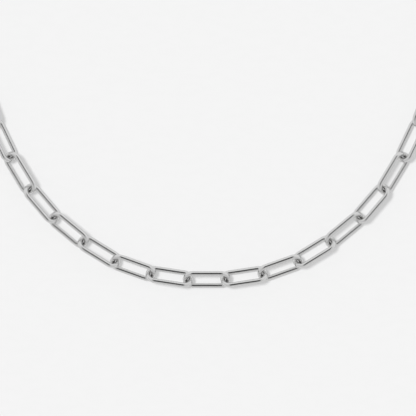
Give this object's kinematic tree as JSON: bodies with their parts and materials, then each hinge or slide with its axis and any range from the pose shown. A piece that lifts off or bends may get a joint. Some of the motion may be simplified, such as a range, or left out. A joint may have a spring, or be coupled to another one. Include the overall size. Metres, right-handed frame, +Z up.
{
  "type": "paperclip chain necklace",
  "caption": "Neck chain of long flat paperclip links in polished round silver wire, shut by a plain hook clasp between two jump rings and lying flat as one open oval loop.",
  "frame": {"origin": "on the surface that the chain lies on, in the middle of the whole loop's outline", "axes": "+Z up from the surface, -Y towards the front of the necklace, +Y towards the clasp, +X to the right in the picture"},
  "size_m": [0.124, 0.1418, 0.0037],
  "materials": {
    "silver_links": "polished silver wire",
    "silver_fastening": "polished silver, cast and drawn"
  },
  "bodies": {
    "root": {"link_01": "silver_links", "link_02": "silver_links", "link_03": "silver_links", "link_04": "silver_links", "link_05": "silver_links", "link_06": "silver_links", "link_07": "silver_links", "link_08": "silver_links", "link_09": "silver_links", "link_10": "silver_links", "link_11": "silver_links", "link_12": "silver_links", "link_13": "silver_links", "link_14": "silver_links", "link_15": "silver_links", "link_16": "silver_links", "link_17": "silver_links", "link_18": "silver_links", "link_19": "silver_links", "link_20": "silver_links", "link_21": "silver_links", "link_22": "silver_links", "link_23": "silver_links", "link_24": "silver_links", "link_25": "silver_links", "link_26": "silver_links", "link_27": "silver_links", "link_28": "silver_links", "link_29": "silver_links", "link_30": "silver_links", "link_31": "silver_links", "link_32": "silver_links", "link_33": "silver_links", "link_34": "silver_links", "link_35": "silver_links", "link_36": "silver_links", "link_37": "silver_links", "link_38": "silver_links", "link_39": "silver_links", "link_40": "silver_links", "link_41": "silver_links", "jump_ring_left": "silver_fastening", "jump_ring_right": "silver_fastening", "clasp": "silver_fastening"}
  },
  "joints": []
}
